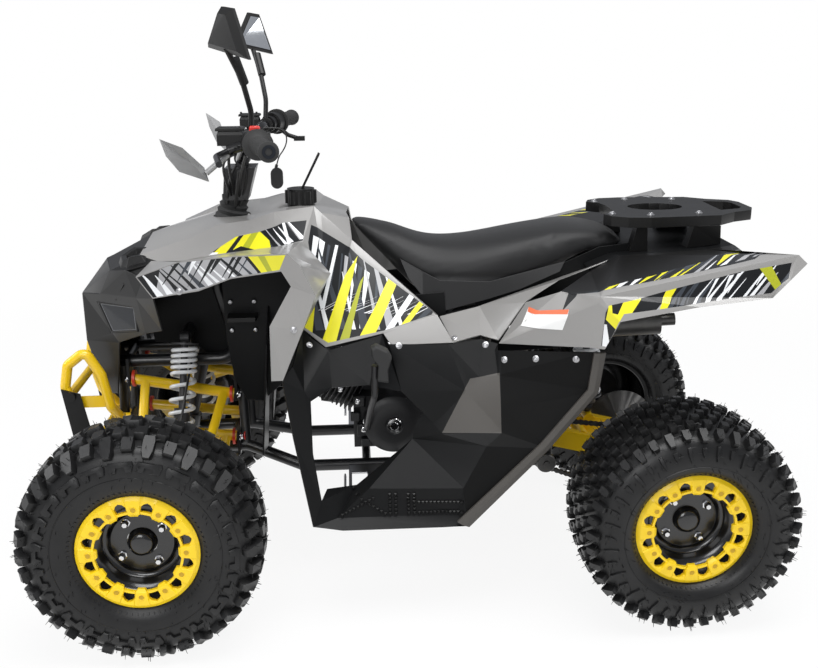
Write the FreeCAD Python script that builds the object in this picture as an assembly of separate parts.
import FreeCAD, Part
import math
import os
from FreeCAD import Vector

# Sport quad bike, millimetres. +X forward, +Y to the rider's left, +Z up.
# The origin is on the ground, in the middle of the overall length.

# Wheels and stance
WHEELBASE = 1090.0
FRONT_AXLE_X = 539.0
REAR_AXLE_X = FRONT_AXLE_X - WHEELBASE
FRONT_TYRE_RADIUS = 241.0
FRONT_TYRE_WIDTH = 178.0
FRONT_WHEEL_Y = 412.0
REAR_TYRE_RADIUS = 229.0
REAR_TYRE_WIDTH = 241.0
REAR_WHEEL_Y = 361.0
LUG_HEIGHT = 15.0
LUG_ROWS = 18
RIM_WALL = 3.0
RING_RADIUS = 117.0
RIM_SEAT_RADIUS = RING_RADIUS + 1
RING_THICK = 10.0
RING_BAND = 24.0
RING_TAB = 6.0
RING_SEGMENTS = 12
RIM_FACETS = 24
NUT_CIRCLE = 100.0
DISC_DEPTH = 53.0
HUB_RADIUS = 30.0
AXLE_RADIUS = 15.0
FIT = 0.3
SHAFT_FIT = 0.05

# Steering and front suspension
STEM_BASE = Vector(446, 0, 541)
STEM_TILT = 14.4
STEM_RADIUS = 14.0
PITMAN_REACH = 70.0
PITMAN_DROP = -279.0
PITMAN_SPREAD = 12.0
KINGPIN_Y = 300.0
KINGPIN_TOP = 315.0
KINGPIN_LOW = 175.0
BALL_HALF = 20.0
KNEE_Y = 228.0
KNEE_SPREAD = 72.0
STEER_ARM = 84.0
ARM_TUBE_RADIUS = 12.0
ARM_END_LEAN = 2.3
PIVOT_PLATE_THICK = 6.0
TIE_ROD_RADIUS = 6.0
TIE_ROD_Z = 262.0
ROD_EYE_HALF = 8.0
ROD_EYE_RADIUS = 9.0
ARM_PIVOT_Y = 78.0
SPRING_RADIUS = 29.0
SPRING_WIRE = 4.0
DAMPER_RADIUS = 17.0

UPPER_FRONT = (72, 456)
UPPER_BACK = (-150, 414)
LOWER_FRONT = (72, 338)
LOWER_BACK = (-150, 312)
SHOCK_SEAT_Z = 216.0
SHOCK_TOP = (-58, 560, 120)
SPRING_TURNS = 9
SPRING_STEPS = 12
SHOCK_EYE_RADIUS = 11.0
PERCH_THICK = 4.0

# Rear axle, chain and engine
REAR_DISC_DEPTH = 61.0
CHAIN_Y = 126.0
SPROCKET_RADIUS = 85.0
DRIVE_SPROCKET_RADIUS = 28.0
CHAIN_HALF = 5.0
CHAIN_WIDTH = 8.0
DRIVE_SHAFT_X = -82.0
DRIVE_SHAFT_Z = 350.0
BRAKE_DISC_RADIUS = 88.0
REAR_SHOCK_TOP = Vector(REAR_AXLE_X + 125, 0, 518)
REAR_SHOCK_PIN_Z = 300.0
REAR_SPRING_TURNS = 6
SWINGARM_Y = 84.0
ENGINE_COVER_RADIUS = 57.0

# Handlebar and controls
CLAMP_HEIGHT = 410.0
BAR_RADIUS = 11.0
BAR_RISE_Y = 148.0
BAR_RISE_X = 318.0
BAR_SWEEP = 57.0
BAR_HALF = 392.0
BAR_Z = 984.0
GRIP_RADIUS = 17.0
MIRROR_Y = 186.0
TETHER_EXIT = Vector(298, -118, 982)
FUEL_CAP_X = 225.0
FUEL_CAP_Z = 821.0
COLUMN_HOLE_RADIUS = 40.0
TETHER_RADIUS = 1.5

HEAD_BEARING = 154.0
FOOT_BEARING = -222.0

# Frame and body
BUMPER_Y = 112.0
BUMPER_RADIUS = 11.0
RACK_Z = 782.0
RACK_THICK = 22.0
FRAME_TUBE_RADIUS = 14.0
LOW_RAIL_RADIUS = 13.0
POST_RADIUS = 11.0
CROSS_RADIUS = 10.0
RAIL_Y = 105.0
FLOOR_Z = 244.0
LOW_RAIL_Z = 285.0
TOP_RAIL_Z = 492.0
BUMPER_TOP_FOOT = 366.0
ENGINE_MOUNTS = (-70.0, 95.0)
ENGINE_LOW = 282.0
SHOCK_CROSS_Z = 605.0
COVER_POST_X = 392.0
COVER_POST_TOP = 805.0
SEAT_LUG_X = -100.0
SEAT_LUG_TOP = 611.4
PANEL_WALL = 3.5


def front(x, y, z):
    """A point given from the front axle's station along the length."""
    return Vector(FRONT_AXLE_X + x, y, z)


def rear(x, y, z):
    """A point given from the rear axle's station along the length."""
    return Vector(REAR_AXLE_X + x, y, z)


def mirrored(shape):
    return shape.mirror(Vector(0, 0, 0), Vector(0, 1, 0))


def both(shape):
    """The left piece and its mirror image on the right."""
    return [shape, mirrored(shape)]


def save(name, shapes):
    solids = []
    for shape in shapes:
        solids.extend(shape.Solids)
    Part.makeCompound(solids).exportStep("parts/" + name + ".step")
    return solids


def rod(start, end, radius):
    """A round bar between two points."""
    run = end.sub(start)
    return Part.makeCylinder(radius, run.Length, start, run)


def bent_tube(points, radius, bend=40.0):
    """A round tube: straight runs joined by quarter-ring bends tangent to them."""
    pieces = []
    last = points[0]
    for before, corner, after in zip(points, points[1:], points[2:]):
        back = before.sub(corner)
        ahead = after.sub(corner)
        turn = math.pi - back.getAngle(ahead)
        reach = bend * math.tan(turn / 2)
        back.normalize()
        ahead.normalize()
        enter = corner.add(back * reach)
        centre = corner.add((back + ahead).normalize() * (bend / math.cos(turn / 2)))
        axis = back.cross(ahead) * -1
        pieces.append(rod(last, enter, radius))
        circle = Part.Wire([Part.Circle(enter, back, radius).toShape()])
        pieces.append(Part.Face(circle).revolve(centre, axis, math.degrees(turn)))
        last = corner.add(ahead * reach)
    pieces.append(rod(last, points[-1], radius))
    return fused(pieces) if len(pieces) > 1 else pieces[0]


def fused(shapes):
    """One solid from overlapping pieces."""
    return shapes[0].fuse(shapes[1:])


def facet_solid(faces):
    """A solid from corner loops that close around it."""
    sides = []
    for loop in faces:
        sides.extend(flat_faces(loop))
    shell = Part.makeShell(sides)
    shell.sewShape()
    solid = Part.makeSolid(shell)
    if solid.Volume < 0:
        solid.reverse()
    return solid


def facet_loft(loops):
    """A solid through matching corner loops, in flat facets."""
    faces = [loops[0], loops[-1]]
    for near, far in zip(loops, loops[1:]):
        for index, corner in enumerate(near):
            after = (index + 1) % len(near)
            faces.append([corner, near[after], far[after], far[index]])
    return facet_solid(faces)


def loop_normal(loop):
    normal = Vector(0, 0, 0)
    for here, there in zip(loop, loop[1:] + loop[:1]):
        normal = normal.add(here.cross(there))
    return normal.normalize()


def flat_faces(loop):
    """One face when the loop is flat, else a fan of triangles."""
    normal = loop_normal(loop)
    flat = all(abs(corner.sub(loop[0]).dot(normal)) < 1e-6 for corner in loop)
    if flat:
        return [Part.Face(Part.makePolygon(loop + loop[:1]))]
    fan = []
    for second, third in zip(loop[1:], loop[2:]):
        fan.append(Part.Face(Part.makePolygon([loop[0], second, third, loop[0]])))
    return fan


def panel(points, facets, outward, wall=PANEL_WALL):
    """A moulded sheet: its outer facets, the same set in by the wall, and the rim."""
    normals = {}
    for facet in facets:
        normal = loop_normal([points[name] for name in facet])
        if normal.dot(outward) < 0:
            normal = normal * -1
        for name in facet:
            normals.setdefault(name, []).append(normal)
    inner = {}
    for name, around in normals.items():
        mean = Vector(0, 0, 0)
        for normal in around:
            mean = mean.add(normal * (1.0 / len(around)))
        inner[name] = points[name].sub(mean * (wall / mean.dot(mean)))
    edges = {}
    faces = []
    for facet in facets:
        for first, second in split_fan(points, facet):
            faces.append(first)
            faces.append([inner[name] for name in second])
        for start, end in zip(facet, facet[1:] + facet[:1]):
            key = frozenset((start, end))
            edges[key] = edges.get(key, 0) + 1
    for edge, uses in edges.items():
        if uses == 1:
            start, end = sorted(edge)
            faces.append([points[start], points[end], inner[end], inner[start]])
    return facet_solid(faces)


def split_fan(points, facet):
    """The facet's triangles, as outer corners and as names for the inner side."""
    pairs = []
    for second, third in zip(facet[1:], facet[2:]):
        names = [facet[0], second, third]
        pairs.append(([points[name] for name in names], names))
    return pairs


def whole_width(points, facets):
    """Adds the right half of a panel that crosses the middle plane."""
    full = dict(points)
    for name, point in points.items():
        if point.y > 0:
            full[name + "_right"] = Vector(point.x, -point.y, point.z)
    right = [[name + "_right" if points[name].y > 0 else name for name in facet] for facet in facets]
    return full, facets + right


# Wheels


def ring_point(radius, side, angle):
    return Vector(radius * math.cos(angle), side, radius * math.sin(angle))


def lugged_tyre(outer_radius, width, rows):
    """A knobby tyre about the Y axis: a faceted carcass with raised lug cells."""
    cells = 2 * rows
    half = width / 2
    true_radius = 1 / math.cos(math.pi / cells)
    crown = outer_radius - LUG_HEIGHT
    lug = LUG_HEIGHT
    seat_half = half * 0.72
    profile = [
        (RIM_SEAT_RADIUS, -seat_half, 0, 0),
        (crown * 0.72, -half + lug * 0.2, 0, 0),
        (crown * 0.87, -half + lug * 0.8, lug * 0.2, -lug * 0.6),
        (crown - 8, -half * 0.74, lug + 4, -lug * 0.5),
        (crown - 2, -half * 0.36, lug + 1, 0),
        (crown, -half * 0.22, lug, 0),
        (crown, half * 0.22, lug, 0),
        (crown - 2, half * 0.36, lug + 1, 0),
        (crown - 8, half * 0.74, lug + 4, lug * 0.5),
        (crown * 0.87, half - lug * 0.8, lug * 0.2, lug * 0.6),
        (crown * 0.72, half - lug * 0.2, 0, 0),
        (RIM_SEAT_RADIUS, seat_half, 0, 0),
    ]
    shoulders = (2, 3, 7, 8)
    middle = (5,)
    strips = len(profile)
    start = -math.pi / 2 - math.pi / cells

    def corner(cell, strip, raised):
        radius, side, grow, spread = profile[strip % strips]
        if raised:
            radius += grow
            side += spread
        return ring_point(radius * true_radius, side, start + 2 * math.pi * cell / cells)

    def is_lug(cell, strip):
        chosen = shoulders if cell % 2 == 0 else middle
        return strip % strips in chosen

    faces = []
    for cell in range(cells):
        for strip in range(strips):
            up = is_lug(cell, strip)
            near = cell
            far = (cell + 1) % cells
            faces.append([corner(near, strip, up), corner(near, strip + 1, up),
                          corner(far, strip + 1, up), corner(far, strip, up)])
            if not up:
                continue
            for side_cell in (near, far):
                faces.append([corner(side_cell, strip, False), corner(side_cell, strip + 1, False),
                              corner(side_cell, strip + 1, True), corner(side_cell, strip, True)])
            for beside, edge in ((strip - 1, strip), (strip + 1, strip + 1)):
                if not is_lug(cell, beside):
                    faces.append([corner(near, edge, False), corner(far, edge, False),
                                  corner(far, edge, True), corner(near, edge, True)])
    return facet_solid(faces)


def facet_revolve(profile, count, turn=0.0):
    """A closed outline of (radius, side) turned about the Y axis in flat facets."""
    faces = []
    for index in range(count):
        near = turn + 2 * math.pi * index / count
        far = turn + 2 * math.pi * ((index + 1) % count) / count
        for first, second in zip(profile, profile[1:] + profile[:1]):
            loop = [ring_point(first[0], first[1], near), ring_point(second[0], second[1], near)]
            loop.append(ring_point(second[0], second[1], far))
            loop.append(ring_point(first[0], first[1], far))
            faces.append(loop)
    return facet_solid(faces)


def rim(width, dish, hub_radius):
    """A pressed wheel about the Y axis, outer side towards +Y, with a dished centre."""
    half = width / 2 * 0.72
    wall = RIM_WALL
    seat = RIM_SEAT_RADIUS - FIT
    disc_out = width / 2 * 0.86 - dish
    disc_in = disc_out - wall
    throat = NUT_CIRCLE / 2 + 22
    outline = [
        (seat, -half), (seat, half), (seat - wall, half), (seat - wall * 2, half - 8),
        (throat + 8, disc_out + 6), (throat, disc_out), (hub_radius, disc_out),
        (hub_radius, disc_in), (throat + 2, disc_in), (throat + 12, disc_in + 6),
        (seat - wall * 3, half - 22), (seat - wall, -half + 3), (seat - wall, -half),
    ]
    return facet_revolve(outline, RIM_FACETS)


def beadlock_ring(count):
    """The bolted outer ring: a flat band with a window between each pair of lugs."""
    inner = RING_RADIUS - RING_BAND
    outer_loop = [ring_point(RING_RADIUS, 0, 2 * math.pi * index / (2 * count)) for index in range(2 * count)]
    tab = math.pi / count * 0.45
    inner_loop = []
    for index in range(count):
        middle = 2 * math.pi * (index + 0.5) / count
        inner_loop.append(ring_point(inner - RING_TAB, 0, middle - tab))
        inner_loop.append(ring_point(inner - RING_TAB, 0, middle + tab))
        inner_loop.append(ring_point(inner, 0, middle + tab * 1.4))
        inner_loop.append(ring_point(inner, 0, middle + math.pi / count * 2 - tab * 1.4))
    wires = [Part.makePolygon(outer_loop + outer_loop[:1]), Part.makePolygon(inner_loop + inner_loop[:1])]
    window = math.pi / count * 0.42
    for index in range(count):
        middle = 2 * math.pi * index / count
        corners = [ring_point(inner + 5, 0, middle - window), ring_point(inner + 5, 0, middle + window),
                   ring_point(RING_RADIUS - 7, 0, middle + window * 0.6),
                   ring_point(RING_RADIUS - 7, 0, middle - window * 0.6)]
        wires.append(Part.makePolygon(corners + corners[:1]))
    return Part.Face(wires, "Part::FaceMakerBullseye").extrude(Vector(0, RING_THICK, 0))


def wheel_at(shape, x, y, z, side):
    placed = shape.copy() if side > 0 else mirrored(shape)
    placed.translate(Vector(x, side * y, z))
    return placed


def wheel_rim(width, dish):
    """The pressed wheel, its hub cap, nuts and the ring bolted to its outer edge."""
    hub = rim(width, dish, HUB_RADIUS)
    face = width / 2 * 0.86 - dish
    cap = Part.makeCylinder(HUB_RADIUS - FIT, dish * 0.45, Vector(0, face - RIM_WALL, 0), Vector(0, 1, 0))
    ring = beadlock_ring(RING_SEGMENTS)
    ring.translate(Vector(0, width / 2 * 0.72 + FIT, 0))
    return [hub, cap, ring]


def fork_point(side, x, z, y):
    """A point near one front wheel, given from the front axle's station."""
    return Vector(FRONT_AXLE_X + x, side * y, z)


def stem_point(distance):
    """A point on the steering axis, measured up from the bearing."""
    tilt = math.radians(STEM_TILT)
    return STEM_BASE.add(Vector(-math.sin(tilt), 0, math.cos(tilt)) * distance)


def stem_ahead():
    """The direction square to the steering axis that points to the front."""
    tilt = math.radians(STEM_TILT)
    return Vector(math.cos(tilt), 0, math.sin(tilt))


# Front wheels, knuckles and tie rods


def knuckle(side):
    """The upright between the ball joints, with its stub axle and steering arm."""
    y = KINGPIN_Y
    axle_z = FRONT_TYRE_RADIUS
    end = BALL_HALF + FIT
    post = rod(fork_point(side, 3, KINGPIN_LOW + end, y), fork_point(side, 3, KINGPIN_TOP - end, y), 14)
    boss_out = FRONT_WHEEL_Y + FRONT_TYRE_WIDTH / 2 * 0.86 - DISC_DEPTH - RIM_WALL - FIT
    stub = rod(fork_point(side, 0, axle_z, y), fork_point(side, 0, axle_z, boss_out), 13)
    flange = rod(fork_point(side, 0, axle_z, y + 12), fork_point(side, 0, axle_z, y + 20), 34)
    arm = bent_tube([fork_point(side, 0, axle_z, y), fork_point(side, -34, TIE_ROD_Z, y),
                     fork_point(side, -STEER_ARM, TIE_ROD_Z, y)], 8, 20)
    eye = rod(fork_point(side, -STEER_ARM, TIE_ROD_Z - ROD_EYE_HALF, y),
              fork_point(side, -STEER_ARM, TIE_ROD_Z + ROD_EYE_HALF, y), ROD_EYE_RADIUS + 2)
    return fused([post, stub, flange, arm, eye])


def a_arm(side, front_end, back_end, ball_z, knee_z):
    """A wishbone: its pivot tube, two cranked legs and the ball joint's boss."""
    start = fork_point(side, front_end[0], front_end[1], ARM_PIVOT_Y)
    stop = fork_point(side, back_end[0], back_end[1], ARM_PIVOT_Y)
    ball = fork_point(side, 3, ball_z, KINGPIN_Y)
    run = stop.sub(start)
    pieces = [rod(start, stop, ARM_TUBE_RADIUS)]
    for share, offset in ((0.13, KNEE_SPREAD), (0.9, -KNEE_SPREAD)):
        knee = fork_point(side, -43 + offset, knee_z, KNEE_Y)
        pieces.append(bent_tube([start.add(run * share), knee, ball], ARM_TUBE_RADIUS - 2, 30))
    pieces.append(rod(ball.add(Vector(0, 0, -BALL_HALF)), ball.add(Vector(0, 0, BALL_HALF)), 16))
    return pieces


def front_arms(side):
    """The upper and lower wishbones of one corner, as two solids."""
    upper = fused(a_arm(side, UPPER_FRONT, UPPER_BACK, KINGPIN_TOP, 372))
    lower = a_arm(side, LOWER_FRONT, LOWER_BACK, KINGPIN_LOW, SHOCK_SEAT_Z)
    seat_bar = rod(fork_point(side, -43 - KNEE_SPREAD, SHOCK_SEAT_Z, KNEE_Y - 6),
                   fork_point(side, -43 + KNEE_SPREAD, SHOCK_SEAT_Z, KNEE_Y - 6), ARM_TUBE_RADIUS - 2)
    return [upper, fused(lower + [seat_bar])]


def tie_rod(side):
    """The rod from under the pitman plate to the top of the knuckle's steering arm."""
    inner = stem_point(PITMAN_DROP).add(stem_ahead() * -PITMAN_REACH).add(Vector(0, side * PITMAN_SPREAD, 0))
    outer = fork_point(side, -STEER_ARM, TIE_ROD_Z + ROD_EYE_HALF + FIT, KINGPIN_Y)
    along_stem = stem_point(1).sub(stem_point(0))
    eye_top = inner.sub(along_stem * FIT)
    near = rod(eye_top, eye_top.sub(along_stem * (2 * ROD_EYE_HALF)), ROD_EYE_RADIUS)
    far = rod(outer, outer.add(Vector(0, 0, 2 * ROD_EYE_HALF)), ROD_EYE_RADIUS)
    start = eye_top.sub(along_stem * (ROD_EYE_HALF + 2))
    return fused([near, far, rod(start, outer.add(Vector(0, 0, ROD_EYE_HALF)), TIE_ROD_RADIUS)])


def save_front_corner(side, name):
    x = FRONT_AXLE_X
    z = FRONT_TYRE_RADIUS
    save("tyre_front_" + name, [wheel_at(front_tyre, x, FRONT_WHEEL_Y, z, side)])
    save("rim_front_" + name, [wheel_at(piece, x, FRONT_WHEEL_Y, z, side) for piece in front_rim])
    save("knuckle_" + name, [knuckle(side)])
    save("tie_rod_" + name, [tie_rod(side)])


def spring(top, bottom, radius, wire, turns):
    """A coil spring between two points, in short straight lengths of hexagonal wire."""
    run = bottom.sub(top)
    along = run * (1.0 / run.Length)
    sideways = along.cross(Vector(1, 0, 0)).normalize()
    ahead = along.cross(sideways)
    steps = turns * SPRING_STEPS
    loops = []
    for step in range(steps + 1):
        angle = 2 * math.pi * step / SPRING_STEPS
        outward = sideways * math.cos(angle) + ahead * math.sin(angle)
        centre = top + along * (wire + (run.Length - 2 * wire) * step / steps) + outward * (radius - wire)
        loops.append([centre + outward * (wire * math.cos(turn * math.pi / 3))
                      + along * (wire * math.sin(turn * math.pi / 3)) for turn in range(6)])
    return facet_loft(loops)


def shock(top, bottom, radius, perch):
    """A damper with its eyes, tube, rod and the two perches that hold the spring."""
    run = bottom.sub(top)
    along = run * (1.0 / run.Length)
    middle = top.add(run * 0.45)
    high_perch = top + along * SHOCK_EYE_RADIUS
    low_perch = top + run * 0.82
    eyes = [rod(end - Vector(9, 0, 0), end + Vector(9, 0, 0), SHOCK_EYE_RADIUS) for end in (top, bottom)]
    shaft = rod(top, middle, radius * 0.45)
    body = rod(middle, top + run * 0.93, radius)
    neck = rod(top + run * 0.93, bottom, 7)
    perches = [rod(high_perch, high_perch + along * PERCH_THICK, perch),
               rod(low_perch, low_perch + along * PERCH_THICK, perch)]
    return fused([shaft, body, neck] + eyes + perches)


def spring_on(top, bottom, radius, wire, turns):
    """The spring that fits between a shock's perches."""
    run = bottom.sub(top)
    along = run * (1.0 / run.Length)
    start = top + along * (SHOCK_EYE_RADIUS + PERCH_THICK + FIT)
    return spring(start, top + run * 0.82 - along * FIT, radius, wire, turns)


def save_rear_axle():
    """The live axle with its sprocket, brake disc and both wheels."""
    x = REAR_AXLE_X
    z = REAR_TYRE_RADIUS
    tyres = [wheel_at(rear_tyre, x, REAR_WHEEL_Y, z, side) for side in (1, -1)]
    rims = [wheel_at(piece, x, REAR_WHEEL_Y, z, side) for piece in rear_rim for side in (1, -1)]
    reach = REAR_WHEEL_Y + REAR_TYRE_WIDTH / 2 * 0.86 - REAR_DISC_DEPTH - RIM_WALL - FIT
    shaft = rod(Vector(x, -reach, z), Vector(x, reach, z), AXLE_RADIUS)
    hubs = [rod(Vector(x, side * (reach - 14), z), Vector(x, side * reach, z), NUT_CIRCLE / 2 + 12)
            for side in (1, -1)]
    sprocket = rod(Vector(x, CHAIN_Y - 3, z), Vector(x, CHAIN_Y + 3, z), SPROCKET_RADIUS - 9)
    disc = rod(Vector(x, -CHAIN_Y - 2, z), Vector(x, -CHAIN_Y + 2, z), BRAKE_DISC_RADIUS)
    save("tyres_rear", tyres)
    save("rims_rear", rims)
    save("rear_axle", [fused([shaft] + hubs + [sprocket, disc])])


def chain_loop():
    """The drive chain as one closed band round both sprockets."""
    near = Vector(DRIVE_SHAFT_X, 0, DRIVE_SHAFT_Z)
    far = Vector(REAR_AXLE_X, 0, REAR_TYRE_RADIUS)
    small = DRIVE_SPROCKET_RADIUS
    large = SPROCKET_RADIUS

    def loop(grow):
        run = near.sub(far)
        lean = math.atan2(run.z, run.x)
        open_angle = math.acos((large - small) / run.Length)
        corners = []
        for step in range(9):
            angle = lean + open_angle + (2 * math.pi - 2 * open_angle) * step / 8
            corners.append(far.add(Vector(math.cos(angle), 0, math.sin(angle)) * (large + grow)))
        for step in range(5):
            angle = lean - open_angle + 2 * open_angle * step / 4
            corners.append(near.add(Vector(math.cos(angle), 0, math.sin(angle)) * (small + grow)))
        return Part.makePolygon(corners + corners[:1])

    face = Part.Face([loop(CHAIN_HALF), loop(-CHAIN_HALF)], "Part::FaceMakerBullseye")
    face.translate(Vector(0, CHAIN_Y - CHAIN_WIDTH / 2, 0))
    return face.extrude(Vector(0, CHAIN_WIDTH, 0))


def frame_tubes():
    """The welded tube frame with its bearings, plates and engine mounts."""
    top_r = FRAME_TUBE_RADIUS
    low_r = LOW_RAIL_RADIUS
    y = RAIL_Y
    p = ARM_PIVOT_Y - 18
    head = stem_point(HEAD_BEARING)
    foot = stem_point(FOOT_BEARING)
    half = []
    half.append(bent_tube([front(125, p, LOW_RAIL_Z), front(-175, p + 8, LOW_RAIL_Z), Vector(235, y, FLOOR_Z),
                           Vector(-130, y, FLOOR_Z), Vector(-190, y, 330), Vector(-218, y, 604)], low_r))
    half.append(bent_tube([front(112, p, TOP_RAIL_Z), front(-172, p, TOP_RAIL_Z),
                           Vector(head.x + 15, p, head.z + 13), Vector(225, y, 705), Vector(-40, y, 585),
                           Vector(-330, y, 620), rear(-90, y, 690)], top_r))
    half.append(rod(front(92, p, TOP_RAIL_Z), front(104, p, LOW_RAIL_Z), POST_RADIUS))
    half.append(rod(front(-170, p + 6, LOW_RAIL_Z), front(-166, p, TOP_RAIL_Z), POST_RADIUS))
    half.append(rod(Vector(-205, y, 480), rear(20, y, 665), POST_RADIUS - 1))
    half.append(rod(front(SHOCK_TOP[0], p, TOP_RAIL_Z), front(SHOCK_TOP[0], p, SHOCK_TOP[1]),
                    POST_RADIUS - 2))
    half.append(rod(Vector(foot.x, 48, foot.z), Vector(foot.x, p, LOW_RAIL_Z), POST_RADIUS - 2))
    half.append(pivot_plate(UPPER_FRONT[0], UPPER_FRONT[1], TOP_RAIL_Z))
    half.append(pivot_plate(UPPER_BACK[0], UPPER_BACK[1], TOP_RAIL_Z))
    half.append(pivot_plate(LOWER_FRONT[0], LOW_RAIL_Z, BUMPER_TOP_FOOT))
    half.append(pivot_plate(LOWER_BACK[0], LOW_RAIL_Z, LOWER_BACK[1]))
    half.append(Part.makeBox(60, 12, 62, Vector(-204, SWINGARM_Y + FIT, 300)))
    tubes = half + [mirrored(tube) for tube in half]
    reach = SHOCK_TOP[2] - SHOCK_EYE_RADIUS - FIT
    tubes.append(rod(front(SHOCK_TOP[0], -reach, SHOCK_TOP[1]), front(SHOCK_TOP[0], reach, SHOCK_TOP[1]), 12))
    for point in (front(100, p, LOW_RAIL_Z), front(-140, p, LOW_RAIL_Z), front(-140, p, TOP_RAIL_Z),
                  front(88, p, TOP_RAIL_Z), Vector(head.x, p, head.z), Vector(foot.x, p - 6, foot.z),
                  Vector(225, y, 704), Vector(ENGINE_MOUNTS[0], y, FLOOR_Z),
                  Vector(ENGINE_MOUNTS[1], y, FLOOR_Z),
                  Vector(-213, y, 550), Vector(-491, y, 657), Vector(REAR_SHOCK_TOP.x, y, SHOCK_CROSS_Z)):
        tubes.append(rod(Vector(point.x, -point.y, point.z), point, CROSS_RADIUS))
    eye_top = REAR_SHOCK_TOP.z + SHOCK_EYE_RADIUS + FIT
    tubes.append(Part.makeBox(18, 20, SHOCK_CROSS_Z - eye_top, Vector(REAR_SHOCK_TOP.x - 9, -10, eye_top)))
    for side in (1, -1):
        post_low = Vector(COVER_POST_X, side * p, 696)
        tubes.append(rod(post_low, Vector(COVER_POST_X, side * p, COVER_POST_TOP), 7))
        lug_low = Vector(SEAT_LUG_X, side * y - 10, 592)
        tubes.append(Part.makeBox(10, 20, SEAT_LUG_TOP - lug_low.z, lug_low))
    for x in ENGINE_MOUNTS:
        tubes.append(Part.makeBox(14, 60, ENGINE_LOW - FIT - FLOOR_Z, Vector(x - 7, -30, FLOOR_Z)))
    for distance in (HEAD_BEARING, FOOT_BEARING):
        tubes.append(rod(stem_point(distance - 18), stem_point(distance + 18), STEM_RADIUS + 7))
    bore = rod(stem_point(FOOT_BEARING - 40), stem_point(HEAD_BEARING + 40), STEM_RADIUS + SHAFT_FIT)
    return fused(tubes).cut(bore)


def pivot_plate(x, low_z, high_z):
    """The frame plate that a wishbone's pivot tube butts against, left side."""
    outward = 1 if x > 0 else -1
    near = x + outward * (FIT + ARM_END_LEAN)
    start = min(near, near + outward * PIVOT_PLATE_THICK)
    corner = front(start, ARM_PIVOT_Y - 28, low_z - 14)
    return Part.makeBox(PIVOT_PLATE_THICK, 40, high_z - low_z + 28, corner)


def nose_cowl():
    """The black front mask, with a wing back to each front fender."""
    points = {
        "brow": front(183, 0, 636), "brow_side": front(166, 60, 651), "brow_lamp": front(113, 120, 662),
        "brow_wing": front(15, 230, 679), "brow_end": front(-31, 290, 692),
        "chin": front(165, 0, 408), "chin_side": front(135, 60, 417), "jaw": front(101, 100, 430),
        "lip": front(183, 0, 540), "lip_side": front(167, 60, 543), "lip_lamp": front(80, 130, 556),
        "lip_wing": front(3, 220, 600), "lip_end": front(-38, 262, 617),
        "hood": front(120, 0, 715), "hood_side": front(82, 140, 718), "hood_back": front(40, 190, 728),
        "hood_end": front(-5, 240, 722),
    }
    facets = [
        ["brow", "brow_side", "lip_side", "lip"], ["lip", "lip_side", "chin_side", "chin"],
        ["brow_side", "brow_lamp", "lip_lamp", "lip_side"], ["lip_side", "lip_lamp", "jaw", "chin_side"],
        ["brow_lamp", "brow_wing", "lip_wing", "lip_lamp"], ["brow_wing", "brow_end", "lip_end", "lip_wing"],
        ["brow", "hood", "hood_side", "brow_lamp", "brow_side"],
        ["brow_lamp", "hood_side", "hood_back", "brow_wing"],
        ["brow_wing", "hood_back", "hood_end", "brow_end"],
    ]
    points, facets = whole_width(points, facets)
    return panel(points, facets, Vector(1, 0, 0.6))


def headlamp(margin=0.0):
    """A lamp body behind its sloping lens, left side; a margin gives the opening it sits in."""
    corners = [front(124, 100, 640), front(22, 206, 655), front(22, 200, 600), front(98, 112, 574)]
    centre = (corners[0] + corners[1] + corners[2] + corners[3]) * 0.25
    inward = Vector(-34, -18, 0)
    face = [point + (point - centre).normalize() * margin - inward * (margin / 2) for point in corners]
    back = [point + inward * (1 + margin) for point in face]
    return facet_loft([face, back])


def front_fender():
    """The grey front fender with its thick flare behind the wheel, left side."""
    points = {
        "join_front": front(-16, 200, 748), "join_1": front(-75, 230, 751), "join_2": front(-126, 240, 764),
        "join_3": front(-200, 240, 772), "join_4": front(-274, 240, 780), "join_5": front(-322, 199, 781),
        "edge_front": front(-8, 320, 743), "edge_1": front(-95, 350, 777), "edge_2": front(-194, 352, 786),
        "edge_3": front(-301, 358, 790),
        "low_front": front(-39, 330, 702), "low_1": front(-129, 340, 717), "low_2": front(-193, 350, 742),
        "low_3": front(-288, 350, 754),
        "arch_1": front(-305, 350, 724), "arch_2": front(-261, 355, 647), "arch_3": front(-259, 355, 536),
        "ridge_1": front(-325, 360, 766), "ridge_2": front(-352, 360, 707), "ridge_3": front(-325, 360, 640),
        "ridge_4": front(-282, 360, 538),
        "back_1": front(-378, 190, 711), "back_2": front(-342, 250, 651), "back_3": front(-323, 280, 619),
        "back_4": front(-300, 320, 573),
    }
    facets = [
        ["join_front", "join_1", "edge_1", "edge_front"], ["join_1", "join_2", "join_3", "edge_2", "edge_1"],
        ["join_3", "join_4", "edge_3", "edge_2"], ["join_4", "join_5", "edge_3"],
        ["edge_front", "edge_1", "low_1", "low_front"], ["edge_1", "edge_2", "low_2", "low_1"],
        ["edge_2", "edge_3", "low_3", "low_2"],
        ["edge_3", "ridge_1", "low_3"], ["low_3", "ridge_1", "ridge_2", "arch_1"],
        ["arch_1", "ridge_2", "ridge_3", "arch_2"], ["arch_2", "ridge_3", "ridge_4", "arch_3"],
        ["edge_3", "join_5", "back_1", "ridge_1"], ["ridge_1", "back_1", "ridge_2"],
        ["ridge_2", "back_1", "back_2", "ridge_3"], ["ridge_3", "back_2", "back_3"],
        ["ridge_3", "back_3", "back_4", "ridge_4"],
    ]
    return panel(points, facets, Vector(-0.2, 1, 0.5))


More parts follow.
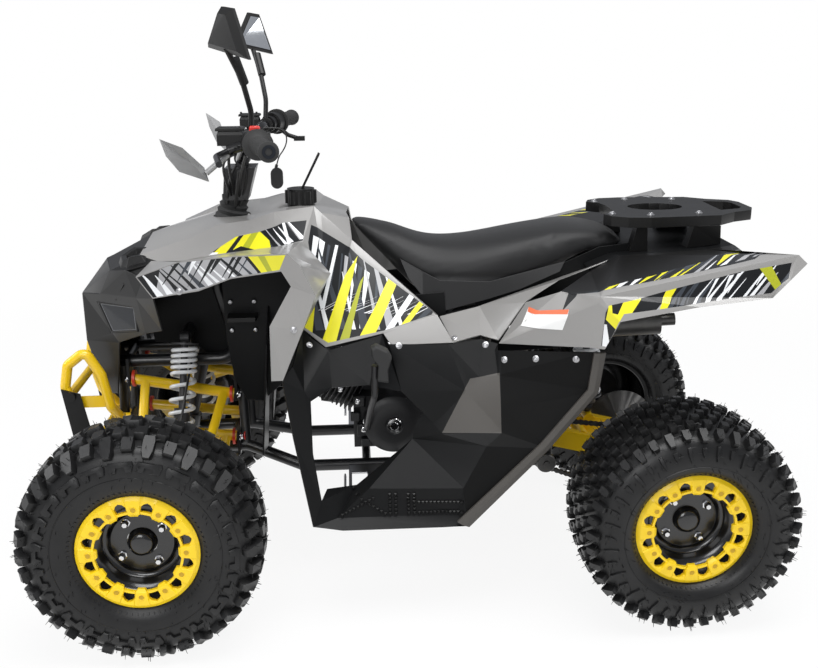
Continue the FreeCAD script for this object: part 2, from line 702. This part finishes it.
def tank_cover():
    """The grey cover from the hood over the tank down to the knees."""
    points = {
        "nose": front(15, 0, 770), "nose_side": front(15, 158, 752), "hood_1": front(-38, 155, 769),
        "hood_2": front(-100, 150, 788), "hood_3": front(-142, 130, 806), "hood_4": front(-214, 140, 817),
        "ridge_1": front(-263, 130, 831), "ridge_2": front(-346, 115, 839), "shoulder": front(-361, 122, 826),
        "hip": front(-424, 130, 768), "tail": front(-600, 150, 608),
        "middle_1": front(-100, 0, 802), "middle_2": front(-214, 0, 806), "middle_3": front(-290, 0, 822),
        "middle_4": front(-346, 0, 822), "middle_5": front(-412, 0, 806),
        "skirt_1": front(-320, 230, 604), "skirt_2": front(-364, 240, 567), "skirt_3": front(-485, 240, 594),
        "skirt_4": front(-599, 190, 614),
        "side_1": front(-26, 190, 745), "side_2": front(-126, 236, 754), "side_3": front(-274, 236, 772),
        "side_4": front(-322, 198, 776), "side_5": front(-366, 186, 711),
        "tail_top": front(-419, 72, 806),
    }
    facets = [
        ["nose", "nose_side", "hood_1", "hood_2", "middle_1"],
        ["middle_1", "hood_2", "hood_3", "hood_4", "middle_2"],
        ["middle_2", "hood_4", "ridge_1", "middle_3"], ["middle_3", "ridge_1", "ridge_2", "middle_4"],
        ["middle_4", "ridge_2", "shoulder", "tail_top", "middle_5"], ["shoulder", "hip", "tail_top"],
        ["nose_side", "side_1", "hood_1"], ["hood_1", "side_1", "side_2", "hood_2"],
        ["hood_2", "side_2", "hood_3"],
        ["hood_3", "side_2", "side_3", "hood_4"], ["hood_4", "side_3", "ridge_1"],
        ["ridge_1", "side_3", "side_4", "ridge_2"], ["ridge_2", "side_4", "side_5", "shoulder"],
        ["shoulder", "side_5", "hip"], ["side_5", "skirt_1", "skirt_2", "hip"], ["hip", "skirt_2", "skirt_3"],
        ["hip", "skirt_3", "skirt_4", "tail"],
    ]
    points, facets = whole_width(points, facets)
    cover = panel(points, facets, Vector(0, 0, 1))
    return cover.cut(rod(stem_point(180), stem_point(330), COLUMN_HOLE_RADIUS))


def side_panel():
    """The grey panel under the seat, left side."""
    points = {
        "front_top": Vector(-68, 148, 601), "front_low": Vector(-88, 238, 569),
        "low_1": Vector(-143, 250, 588),
        "low_2": Vector(-178, 270, 582), "seat_1": Vector(-155, 142, 620), "seat_2": rear(94, 128, 716),
        "top_1": Vector(-236, 236, 650), "top_2": rear(236, 198, 686), "top_3": rear(98, 142, 719),
    }
    facets = [
        ["front_top", "front_low", "low_1", "seat_1"], ["seat_1", "low_1", "low_2", "top_1"],
        ["seat_1", "top_1", "top_2", "seat_2"], ["seat_2", "top_2", "top_3"],
    ]
    return panel(points, facets, Vector(0, 1, 0.3))


def rear_fender():
    """The grey rear fender, left side, rising to a pointed tail."""
    points = {
        "front_low": rear(373, 280, 577), "front_top": rear(313, 246, 653), "crown": rear(261, 330, 695),
        "corner_low": rear(212, 392, 598), "corner": rear(202, 405, 690),
        "edge_low": rear(189, 412, 600), "edge_dip": rear(166, 430, 659), "side_1": rear(18, 440, 687),
        "side_2": rear(-120, 440, 701), "side_3": rear(-150, 440, 733), "tip": rear(-181, 438, 765),
        "top_1": rear(199, 404, 703), "top_2": rear(-167, 429, 780),
        "inner_1": rear(197, 182, 664), "inner_2": rear(164, 172, 698), "inner_3": rear(95, 152, 726),
        "inner_4": rear(-96, 152, 735), "inner_5": rear(-150, 152, 744), "back": rear(-110, 300, 762),
    }
    facets = [
        ["front_low", "front_top", "crown", "corner", "corner_low"],
        ["corner_low", "corner", "edge_dip", "edge_low"],
        ["corner", "top_1", "edge_dip"], ["front_top", "inner_1", "crown"],
        ["crown", "inner_1", "inner_2", "top_1"],
        ["crown", "top_1", "corner"], ["top_1", "side_1", "edge_dip"], ["top_1", "top_2", "side_2", "side_1"],
        ["top_2", "tip", "side_3", "side_2"], ["inner_2", "inner_3", "top_1"],
        ["inner_3", "inner_4", "top_2", "top_1"], ["inner_4", "inner_5", "back", "top_2"],
    ]
    return panel(points, facets, Vector(0, 1, 0.6))


def tail_trim():
    """The black cover between the rear fenders, under the rack."""
    points = {
        "mid": rear(166, 0, 712), "mid_side": rear(164, 172 - FIT, 697.5),
        "high": rear(95, 0, 726), "high_side": rear(95, 152 - FIT, 726),
        "back": rear(-96, 0, 735), "back_side": rear(-96, 152 - FIT, 735),
        "end": rear(-150, 0, 744), "end_side": rear(-150, 152 - FIT, 744),
    }
    facets = [
        ["mid", "mid_side", "high_side", "high"], ["high", "high_side", "back_side", "back"],
        ["back", "back_side", "end_side", "end"],
    ]
    points, facets = whole_width(points, facets)
    return panel(points, facets, Vector(0, 0, 1))


def foot_guard():
    """The moulded leg guard and foot well, left side, open in front of the engine."""
    points = {
        "top_1": Vector(222, 235, 600), "top_2": Vector(170, 245, 561), "top_3": Vector(59, 243, 591),
        "top_4": Vector(45, 260, 576), "top_5": Vector(-78, 255, 570), "top_6": Vector(-144, 262, 582),
        "top_7": Vector(-177, 276, 575), "top_8": Vector(-171, 292, 566),
        "post_1": Vector(259, 350, 534), "post_2": Vector(242, 355, 414), "post_3": Vector(209, 372, 226),
        "post_in_1": Vector(238, 340, 560), "post_in_2": Vector(218, 330, 504),
        "post_in_3": Vector(205, 345, 376),
        "post_in_4": Vector(191, 350, 273),
        "hole_1": Vector(206, 330, 482), "hole_2": Vector(164, 290, 496), "hole_3": Vector(88, 285, 497),
        "hole_4": Vector(22, 285, 481), "hole_5": Vector(-34, 285, 455), "hole_6": Vector(-5, 285, 406),
        "hole_7": Vector(0, 280, 374), "hole_8": Vector(119, 300, 283), "hole_9": Vector(181, 300, 276),
        "fold_1": Vector(-172, 310, 519), "fold_2": Vector(-135, 300, 514), "fold_3": Vector(-110, 300, 482),
        "fold_4": Vector(-182, 330, 453), "fold_5": Vector(-177, 335, 404), "fold_6": Vector(-58, 310, 395),
        "fold_7": Vector(-43, 300, 414), "fold_8": Vector(-146, 345, 379), "fold_9": Vector(-99, 355, 292),
        "fold_10": Vector(94, 340, 292),
        "lip_1": Vector(149, 372, 216), "lip_2": Vector(-57, 370, 214), "lip_3": Vector(-108, 370, 214),
        "lip_in_1": Vector(160, 352, 234), "lip_in_2": Vector(-87, 352, 234),
        "rear_1": Vector(-267, 374, 382), "rear_2": Vector(-362, 378, 502), "rear_3": Vector(-373, 380, 583),
        "rear_4": Vector(-341, 373, 583),
    }
    facets = [
        ["post_1", "post_2", "post_in_3", "post_in_2"], ["post_1", "post_in_2", "post_in_1"],
        ["post_2", "post_3", "post_in_4", "post_in_3"], ["post_3", "lip_1", "lip_in_1", "post_in_4"],
        ["top_1", "post_in_1", "post_in_2", "top_2"], ["post_in_2", "hole_1", "hole_2", "top_2"],
        ["post_in_2", "post_in_3", "hole_1"],
        ["top_2", "hole_2", "hole_3", "top_3"], ["top_3", "hole_3", "hole_4", "top_4"],
        ["top_4", "hole_4", "fold_3", "top_5"], ["hole_4", "hole_5", "fold_7", "fold_3"],
        ["top_5", "fold_3", "fold_2", "top_6"], ["top_6", "fold_2", "fold_1", "top_7"],
        ["top_7", "fold_1", "top_8"], ["fold_3", "fold_4", "fold_1", "fold_2"],
        ["fold_3", "fold_7", "fold_6", "fold_5", "fold_4"], ["hole_5", "hole_6", "fold_7"],
        ["hole_6", "hole_7", "fold_6", "fold_7"], ["hole_7", "fold_10", "fold_9", "fold_8", "fold_6"],
        ["fold_6", "fold_8", "fold_5"], ["hole_7", "hole_8", "fold_10"],
        ["hole_8", "hole_9", "post_in_4", "lip_in_1", "fold_10"],
        ["fold_10", "lip_in_1", "lip_in_2", "fold_9"],
        ["lip_in_1", "lip_1", "lip_2", "lip_in_2"], ["lip_in_2", "lip_2", "lip_3", "fold_9"],
        ["fold_8", "fold_9", "lip_3", "rear_1"], ["fold_5", "fold_8", "rear_1"],
        ["fold_4", "fold_5", "rear_1", "rear_2"], ["fold_1", "fold_4", "rear_2", "rear_4"],
        ["top_8", "fold_1", "rear_4"], ["rear_4", "rear_2", "rear_3"],
    ]
    return panel(points, facets, Vector(0, 1, 0.2))


def foot_tray():
    """The ribbed foot rest at the bottom of the guard, left side."""
    plate = Part.makeBox(286, 238, 4, Vector(-150, 118.3, 246))
    for x in (-120, -60, 0, 60, 112):
        plate = plate.cut(Part.makeBox(34, 150, 4, Vector(x - 17, 165, 246)))
    return plate


def seat():
    """The padded seat, scooped for the rider and crowned across."""
    sections = [
        (118, 802, 114, 790, 40), (60, 797, 44, 716, 74), (0, 766, -20, 645, 104), (-60, 745, -66, 606, 122),
        (-150, 748, -150, 626, 128), (-250, 768, -250, 652, 126), (-352, 780, -352, 694, 122),
        (-385, 779, -385, 712.4, 118), (-456, 766, -456, 726.4, 104), (-492, 742, -490, 728.2, 80),
    ]
    across = [(1, -1), (1, 1), (0.35, 0.97), (0.07, 0.62), (0, 0), (0.07, -0.62), (0.35, -0.97)]
    loops = []
    for top_x, top_z, low_x, low_z, half in sections:
        top = Vector(top_x, 0, top_z)
        down = Vector(low_x, 0, low_z).sub(top)
        loops.append([top + down * depth + Vector(0, half * share, 0) for depth, share in across])
    return facet_loft(loops)


def trim_height(x):
    """The top of the tail trim at a station from the rear axle."""
    if x < -96:
        return 735 + (-96 - x) * 9 / 54
    return 726 + (95 - x) * 9 / 191


def rack():
    """The black moulded carrier with an oval hole and a grab loop at the tail."""
    side_line = [(118, 84), (108, 112), (76, 134), (28, 140), (-128, 128), (-170, 92), (-216, 70), (-229, 40)]
    front_line = [(86, 30), (92, 62)]
    grab_hole = [(-150, 62), (-196, 48), (-208, 30)]
    outline = side_line + [(x, -y) for x, y in reversed(side_line)]
    outline = outline + [(x, -y) for x, y in reversed(front_line)] + front_line
    hole = grab_hole + [(x, -y) for x, y in reversed(grab_hole)]
    wires = [Part.makePolygon([rear(x, y, RACK_Z) for x, y in outline + outline[:1]]),
             Part.makePolygon([rear(x, y, RACK_Z) for x, y in hole + hole[:1]])]
    oval = [rear(-20 + 62 * math.cos(turn * math.pi / 8), 46 * math.sin(turn * math.pi / 8), RACK_Z)
            for turn in range(17)]
    wires.append(Part.makePolygon(oval))
    plate = Part.Face(wires, "Part::FaceMakerBullseye").extrude(Vector(0, 0, RACK_THICK))
    legs = []
    for side in (1, -1):
        for x, length in ((34, 22), (-126, 58)):
            top = [rear(x, side * 134, RACK_Z), rear(x + length, side * 132, RACK_Z),
                   rear(x + length, side * 104, RACK_Z), rear(x, side * 104, RACK_Z)]
            near = trim_height(x - 4) + FIT
            far = trim_height(x + length + 12) + FIT
            low = [rear(x - 4, side * 128, near), rear(x + length + 12, side * 128, far),
                   rear(x + length + 12, side * 96, far), rear(x - 4, side * 96, near)]
            legs.append(facet_loft([low, top]))
    return fused([plate] + legs)


def bumper():
    """The yellow bull bar: a bent loop each side, cross bars and black end plates."""
    y = BUMPER_Y
    foot_x = LOWER_FRONT[0] + ARM_END_LEAN + PIVOT_PLATE_THICK + 2 * FIT
    loop = bent_tube([front(foot_x, 82, 303), front(112, 82, 303), front(150, y, 322), front(190, y, 372),
                      front(210, y, 452), front(200, y, 502), front(160, y, 533), front(130, y, 478),
                      front(116, y, 404), front(104, 82, BUMPER_TOP_FOOT),
                      front(foot_x, 82, BUMPER_TOP_FOOT)], BUMPER_RADIUS, 14)
    gusset = Part.makeBox(64, 4, 26, front(128, y - 2, 404))
    cross = rod(front(204, -y, 430), front(204, y, 430), BUMPER_RADIUS - 1)
    low_cross = rod(front(150, -y, 322), front(150, y, 322), BUMPER_RADIUS - 1)
    bar = fused([loop, gusset, mirrored(loop), mirrored(gusset), cross, low_cross])
    outer = y + BUMPER_RADIUS + FIT
    corners = [front(216, outer, 452), front(176, outer, 440), front(160, outer, 352), front(200, outer, 340)]
    plate = Part.Face(Part.makePolygon(corners + corners[:1])).extrude(Vector(0, 4, 0))
    cap = rod(front(196, outer + 4, 436), front(196, outer + 12, 436), 11)
    return [bar] + both(fused([plate, cap]))


def engine():
    """The engine: crankcase, leaning cylinder, round cover and kick lever."""
    case = Part.makeBox(210, 176, 122, Vector(-88, -80, ENGINE_LOW))
    cover = rod(Vector(33, 96, 357), Vector(33, 158, 357), ENGINE_COVER_RADIUS)
    cylinder = rod(Vector(60, 0, 380), Vector(196, 0, 452), 52)
    head = rod(Vector(196, 0, 452), Vector(232, 0, 471), 60)
    shaft = [Vector(DRIVE_SHAFT_X, y, DRIVE_SHAFT_Z) for y in (60, CHAIN_Y - 3, CHAIN_Y + 3, CHAIN_Y + 5)]
    drive = rod(shaft[0], shaft[3], 11)
    sprocket = rod(shaft[1], shaft[2], DRIVE_SPROCKET_RADIUS - CHAIN_HALF - 1.8)
    body = fused([case, cover, cylinder, head, drive, sprocket])
    lever = bent_tube([Vector(92, 90, 362), Vector(92, 180, 362), Vector(86, 252, 430), Vector(78, 306, 482),
                       Vector(76, 312, 548)], 7, 14)
    return fused([body, lever])


def exhaust():
    """The header from the cylinder and the silencer under the left rear fender."""
    silencer = rod(rear(226, 200, 588), rear(24, 218, 600), 30)
    tail = rod(rear(24, 218, 600), rear(-8, 221, 602), 13)
    header = bent_tube([Vector(214, -20, 420), Vector(214, -110, 372), Vector(150, -150, 345),
                        Vector(-60, -150, 390), Vector(-230, -150, 450), Vector(-285, -150, 567),
                        Vector(-285, 150, 567), rear(226, 200, 588)], 14, 30)
    return fused([silencer, tail, header])


def swingarm():
    """Two box beams from the frame pivot to the axle carrier, yellow."""
    beams = []
    for side in (1, -1):
        front_end = [Vector(-150, side * SWINGARM_Y, 310), Vector(-150, side * SWINGARM_Y, 352),
                     Vector(-150, side * (SWINGARM_Y - 24), 352), Vector(-150, side * (SWINGARM_Y - 24), 310)]
        back_end = [rear(30, side * SWINGARM_Y, 216), rear(30, side * SWINGARM_Y, 262),
                    rear(30, side * (SWINGARM_Y - 24), 262), rear(30, side * (SWINGARM_Y - 24), 216)]
        beams.append(facet_loft([front_end, back_end]))
    pivot = rod(Vector(-160, -SWINGARM_Y, 331), Vector(-160, SWINGARM_Y, 331), 20)
    carrier = rod(rear(0, -SWINGARM_Y, REAR_TYRE_RADIUS), rear(0, SWINGARM_Y, REAR_TYRE_RADIUS), 38)
    bore = rod(rear(0, -200, REAR_TYRE_RADIUS), rear(0, 200, REAR_TYRE_RADIUS), AXLE_RADIUS + SHAFT_FIT)
    mount = rod(rear(115, -20, REAR_SHOCK_PIN_Z), rear(115, 20, REAR_SHOCK_PIN_Z), 14)
    cross = rod(Vector(-410, -SWINGARM_Y + 12, 276), Vector(-410, SWINGARM_Y - 12, 276), 16)
    web = Part.makeBox(46, 16, 34, Vector(-452, -8, 268))
    return fused(beams + [pivot, carrier, mount, cross, web]).cut(bore)


def steering_stem():
    """The steering column, its pitman plate and the bar clamp."""
    column = rod(stem_point(PITMAN_DROP - 8), stem_point(CLAMP_HEIGHT), STEM_RADIUS)
    plate_centre = stem_point(PITMAN_DROP)
    ahead = stem_ahead()
    reach = PITMAN_REACH + 12
    spread = PITMAN_SPREAD + 11
    corners = [Vector(0, -18, 0), Vector(0, 18, 0), ahead * -reach + Vector(0, spread, 0),
               ahead * -reach + Vector(0, -spread, 0)]
    corners = [plate_centre.add(corner) for corner in corners]
    up = stem_point(1).sub(stem_point(0))
    plate = Part.Face(Part.makePolygon(corners + corners[:1])).extrude(up * 6)
    bar = stem_point(CLAMP_HEIGHT - 6)
    clamp = rod(bar + Vector(0, -38, 0), bar + Vector(0, 38, 0), 17)
    bore = rod(bar + Vector(0, -60, 0), bar + Vector(0, 60, 0), BAR_RADIUS)
    return fused([column, plate, clamp, column_cover()]).cut(bore)


def bar_point(y):
    """The handlebar's centre line at one side station."""
    reach = (abs(y) - BAR_RISE_Y) / (BAR_HALF - BAR_RISE_Y)
    return Vector(BAR_RISE_X - reach * BAR_SWEEP, y, BAR_Z)


def handlebar():
    """The bent bar from grip to grip, held in the stem's clamp."""
    clamp = stem_point(CLAMP_HEIGHT - 6)
    points = [bar_point(-BAR_HALF), bar_point(-BAR_RISE_Y), clamp + Vector(0, -62, 0),
              clamp + Vector(0, 62, 0), bar_point(BAR_RISE_Y), bar_point(BAR_HALF)]
    return bent_tube(points, BAR_RADIUS, 36)


def tether_route():
    """The safety cord's route: out of its switch, round and down to the fob."""
    return [TETHER_EXIT, Vector(279, -120, 983), Vector(264, -122, 976),
            Vector(257, -122, 960), Vector(260, -121, 943),
            Vector(268, -119, 929), Vector(278, -118, 917), Vector(283, -118, 899)]


def bar_sleeve(start_y, stop_y, radius, side):
    """A collar round the handlebar between two side stations."""
    start = bar_point(side * start_y)
    stop = bar_point(side * stop_y)
    return rod(start, stop, radius)


def grips():
    """The two rubber grips, each with a flange at its inner end."""
    pieces = []
    for side in (1, -1):
        grip = fused([bar_sleeve(276, BAR_HALF + 8, GRIP_RADIUS, side),
                      bar_sleeve(272, 278, GRIP_RADIUS + 13, side)])
        pieces.append(grip.cut(bar_sleeve(260, BAR_HALF + FIT, BAR_RADIUS + FIT / 2, side)))
    return pieces


def rise_point(side, share):
    """A point on the handlebar's sloping run, as a share from the clamp outwards."""
    inner = stem_point(CLAMP_HEIGHT - 6) + Vector(0, side * 62, 0)
    return inner + (bar_point(side * BAR_RISE_Y) - inner) * share


def brake_lever(side):
    """One lever with its perch and clamp."""
    lever = bent_tube([Vector(350, side * 208, 968), Vector(374, side * 240, 960),
                       Vector(352, side * 372, 960)], 6, 30)
    perch = rod(bar_point(side * 211), Vector(354, side * 208, 968), 11)
    return fused([bar_sleeve(202, 220, 18, side), perch, lever])


def controls():
    """Switch housings, brake levers, the thumb throttle and the safety switch."""
    left = bar_sleeve(226, 268, 27, 1)
    throttle = fused([bar_sleeve(226, 268, 24, -1),
                      bent_tube([bar_point(-240), Vector(262, -246, 954), Vector(240, -250, 946)], 5, 16),
                      Part.makeBox(26, 20, 10, Vector(222, -260, 940))])
    outlet = tether_route()[1].sub(TETHER_EXIT).normalize()
    safety = fused([rod(rise_point(-1, 0.5), rise_point(-1, 0.76), 15),
                    rod(rise_point(-1, 0.64), TETHER_EXIT - outlet * 9, 7),
                    rod(TETHER_EXIT - outlet * 11, TETHER_EXIT, 5)])
    bore = [bar_sleeve(170, 300, BAR_RADIUS + FIT / 2, side) for side in (1, -1)]
    bore.append(rod(rise_point(-1, 0.1), rise_point(-1, 0.95), BAR_RADIUS + FIT / 2))
    return [piece.cut(bore) for piece in (left, brake_lever(1), throttle, brake_lever(-1), safety)]


def mirror(side):
    """One mirror's clamp, stem, boot and shell, turned inwards."""
    base = bar_point(side * MIRROR_Y)
    clamp = rod(base + Vector(0, -side * 9, 0), base + Vector(0, side * 9, 0), 16)
    stem = bent_tube([base + Vector(0, 0, 10), Vector(306, side * 190, 1040), Vector(318, side * 218, 1104),
                      Vector(339, side * 265, 1162)], 5.5, 50)
    boot = rod(Vector(314, side * 214, 1096), Vector(326, side * 242, 1142), 9)
    bore = bar_sleeve(120, 260, BAR_RADIUS + FIT / 2, side)
    return fused([clamp, stem, boot, mirror_shell(side)]).cut(bore)


def mirror_face(side):
    """The four corners of a mirror's face, and the point in their middle."""
    face = [Vector(373, side * 214, 1163), Vector(291, side * 290, 1141), Vector(318, side * 270, 1232),
            Vector(340, side * 248, 1236)]
    return face, Vector(330, side * 255, 1192)


def mirror_shell(side):
    """The four-sided mirror shell, its back domed towards the front."""
    face, middle = mirror_face(side)
    ahead = Vector(0.68, side * 0.73, 0)
    outer = [point + ahead * 7 for point in face]
    back = [middle + (point - middle) * 0.72 + ahead * 21 for point in face]
    return facet_loft([face, outer, back])


def mirror_glass(side):
    """The glass on a mirror's face, turned towards the rider."""
    face, middle = mirror_face(side)
    behind = Vector(-0.68, -side * 0.73, 0)
    near = [middle + (point - middle) * 0.92 + behind * FIT for point in face]
    far = [point + behind * 2 for point in near]
    return facet_loft([near, far])


def hand_guard(side):
    """The grey wind deflector ahead of one grip, with its stay."""
    points = {
        "tip": Vector(465, 322, 1003), "top": Vector(431, 292, 984), "root_top": Vector(404, 214, 936),
        "root_low": Vector(396, 214, 908), "low_1": Vector(408, 232, 916), "low_2": Vector(439, 284, 937),
        "low_3": Vector(457, 312, 970), "fold": Vector(422, 262, 952),
    }
    facets = [["tip", "top", "fold", "low_3"], ["fold", "top", "root_top"],
              ["fold", "root_top", "root_low", "low_1"], ["fold", "low_1", "low_2", "low_3"]]
    blade = panel(points, facets, Vector(0.6, 0, -0.8), 3)
    stay = rod(Vector(398, 218, 925), Vector(352, 208, 962), 6)
    guard = fused([blade, stay])
    return [guard if side > 0 else mirrored(guard)]


def column_cover():
    """The dark cover round the steering column between tank and bar."""
    low = [Vector(392, -34, 842), Vector(392, 34, 842), Vector(338, 34, 842), Vector(338, -34, 842)]
    high = [Vector(384, -44, 912), Vector(384, 44, 912), Vector(318, 44, 912), Vector(318, -44, 912)]
    return facet_loft([low, high])


def fuel_cap():
    """The lobed cap with its forked breather pipe."""
    middle = Vector(FUEL_CAP_X, 0, FUEL_CAP_Z)
    pieces = [rod(middle, middle + Vector(0, 0, 40), 30)]
    for turn in range(6):
        angle = turn * math.pi / 3
        low = middle + Vector(24 * math.cos(angle), 24 * math.sin(angle), 8)
        pieces.append(rod(low, low + Vector(0, 0, 28), 11))
    for side in (1, -1):
        pieces.append(rod(middle + Vector(-3, side * 5, 38), middle + Vector(-43, side * 13, 115), 2.5))
    return fused(pieces)


def hood_vent():
    """A raised black vent on the nose, left side."""
    base = [front(82, 96, 712), front(70, 172, 712), front(6, 176, 736), front(14, 108, 748)]
    top = [front(50, 128, 750), front(44, 166, 752), front(16, 162, 757), front(20, 130, 760)]
    return facet_loft([base, top])


def splash_guard():
    """The black inner mudguard behind the front wheel, left side."""
    corners = [Vector(318, 80, 286), Vector(318, 196, 312), Vector(296, 226, 570), Vector(292, 84, 689)]
    ahead = Vector(PANEL_WALL, 0, 0)
    face = Part.Face(Part.makePolygon(corners[:3] + corners[:1])).extrude(ahead)
    rest = Part.Face(Part.makePolygon([corners[0], corners[2], corners[3], corners[0]])).extrude(ahead)
    return fused([face, rest])


def fob():
    """The oval fob on the end of the safety cord, with the neck the cord runs into."""
    low = Vector(284, -118, 858)
    high = Vector(284, -118, 878)
    half_thick = Vector(0, 5, 0)
    route = tether_route()
    end = route[-1]
    along = end.sub(route[-2]).normalize()
    return fused([Part.makeBox(28, 10, 20, Vector(270, -123, 858)),
                  rod(low - half_thick, low + half_thick, 14),
                  rod(high - half_thick, high + half_thick, 14), rod(end, end + along * 12, 3.5)])


def tether():
    """The safety cord, as straight runs joined by arcs as large as they allow."""
    points = tether_route()
    edges = []
    last = points[0]
    for before, corner, after in zip(points, points[1:], points[2:]):
        back = before.sub(corner)
        ahead = after.sub(corner)
        half_turn = (math.pi - back.getAngle(ahead)) / 2
        reach = 0.45 * min(back.Length, ahead.Length)
        radius = reach / math.tan(half_turn)
        print("tether bend radius", round(radius, 1), "mm")
        back.normalize()
        ahead.normalize()
        middle = back.add(ahead).normalize()
        enter = corner.add(back * reach)
        leave = corner.add(ahead * reach)
        crown = corner.add(middle * (radius / math.cos(half_turn) - radius))
        edges.append(Part.LineSegment(last, enter).toShape())
        edges.append(Part.Arc(enter, crown, leave).toShape())
        last = leave
    edges.append(Part.LineSegment(last, points[-1]).toShape())
    path = Part.Wire(edges)
    circle = Part.Circle(points[0], points[1].sub(points[0]), TETHER_RADIUS)
    return path.makePipeShell([Part.Wire([circle.toShape()])], True, False)


def front_shock(side):
    """One front damper and its spring, from the frame's cross tube to the lower wishbone."""
    top = fork_point(side, SHOCK_TOP[0], SHOCK_TOP[1], SHOCK_TOP[2])
    low_z = SHOCK_SEAT_Z + ARM_TUBE_RADIUS - 2 + SHOCK_EYE_RADIUS + FIT
    bottom = fork_point(side, -36, low_z, KNEE_Y - 6)
    coil = spring_on(top, bottom, SPRING_RADIUS, SPRING_WIRE, SPRING_TURNS)
    return [shock(top, bottom, DAMPER_RADIUS, SPRING_RADIUS + 1), coil]


def rear_shock():
    """The single rear damper and its spring, from the frame's lug to the swingarm's mount."""
    top = REAR_SHOCK_TOP
    bottom = rear(115, 0, REAR_SHOCK_PIN_Z + 14 + SHOCK_EYE_RADIUS + FIT)
    coil = spring_on(top, bottom, 32, 5, REAR_SPRING_TURNS)
    return [shock(top, bottom, DAMPER_RADIUS + 2, 33), coil]


os.makedirs("parts", exist_ok=True)
front_tyre = lugged_tyre(FRONT_TYRE_RADIUS, FRONT_TYRE_WIDTH, LUG_ROWS)
rear_tyre = lugged_tyre(REAR_TYRE_RADIUS, REAR_TYRE_WIDTH, LUG_ROWS)
front_rim = wheel_rim(FRONT_TYRE_WIDTH, DISC_DEPTH)
rear_rim = wheel_rim(REAR_TYRE_WIDTH, REAR_DISC_DEPTH)
save_front_corner(1, "left")
save_front_corner(-1, "right")
save_rear_axle()
save("chain", [chain_loop()])
cover = tank_cover()
save("frame_tubes", [frame_tubes().cut(cover)])
nose = nose_cowl().cut(both(headlamp(2 * FIT)))
save("nose_cowl", [nose])
save("headlamps", both(headlamp()))
fender = front_fender()
save("front_fender_left", [fender])
save("front_fender_right", [mirrored(fender)])
save("tank_cover", [cover])
save("side_panels", both(side_panel()))
tail = rear_fender()
save("rear_fender_left", [tail])
save("rear_fender_right", [mirrored(tail)])
save("tail_trim", [tail_trim()])
guard = foot_guard()
save("foot_guard_left", [guard])
save("foot_guard_right", [mirrored(guard)])
tray = foot_tray().cut(guard)
tray = max(tray.Solids, key=lambda solid: solid.Volume)
save("foot_trays", both(tray))
save("seat", [seat()])
save("rack", [rack()])
save("bumper", bumper())
motor = engine()
save("engine", [motor])
save("exhaust", [exhaust().cut(motor)])
save("swingarm", [swingarm()])
save("steering_stem", [steering_stem()])
save("handlebar", [handlebar()])
save("front_arms_left", front_arms(1))
save("front_arms_right", front_arms(-1))
save("shocks", front_shock(1) + front_shock(-1) + rear_shock())
save("grips", grips())
levers = controls()
save("controls", levers)
save("mirrors", [mirror(1), mirror(-1)])
save("mirror_glass", [mirror_glass(1), mirror_glass(-1)])
save("hand_guards", [piece.cut(levers) for side in (1, -1) for piece in hand_guard(side)])
cap = fuel_cap().cut(cover)
save("fuel_cap", [max(cap.Solids, key=lambda solid: solid.Volume)])
vent = hood_vent().cut([nose, cover])
save("hood_vents", both(max(vent.Solids, key=lambda solid: solid.Volume)))
save("splash_guards", both(splash_guard()))
save("tether_fob", [fob()])
save("tether_cord", [tether()])
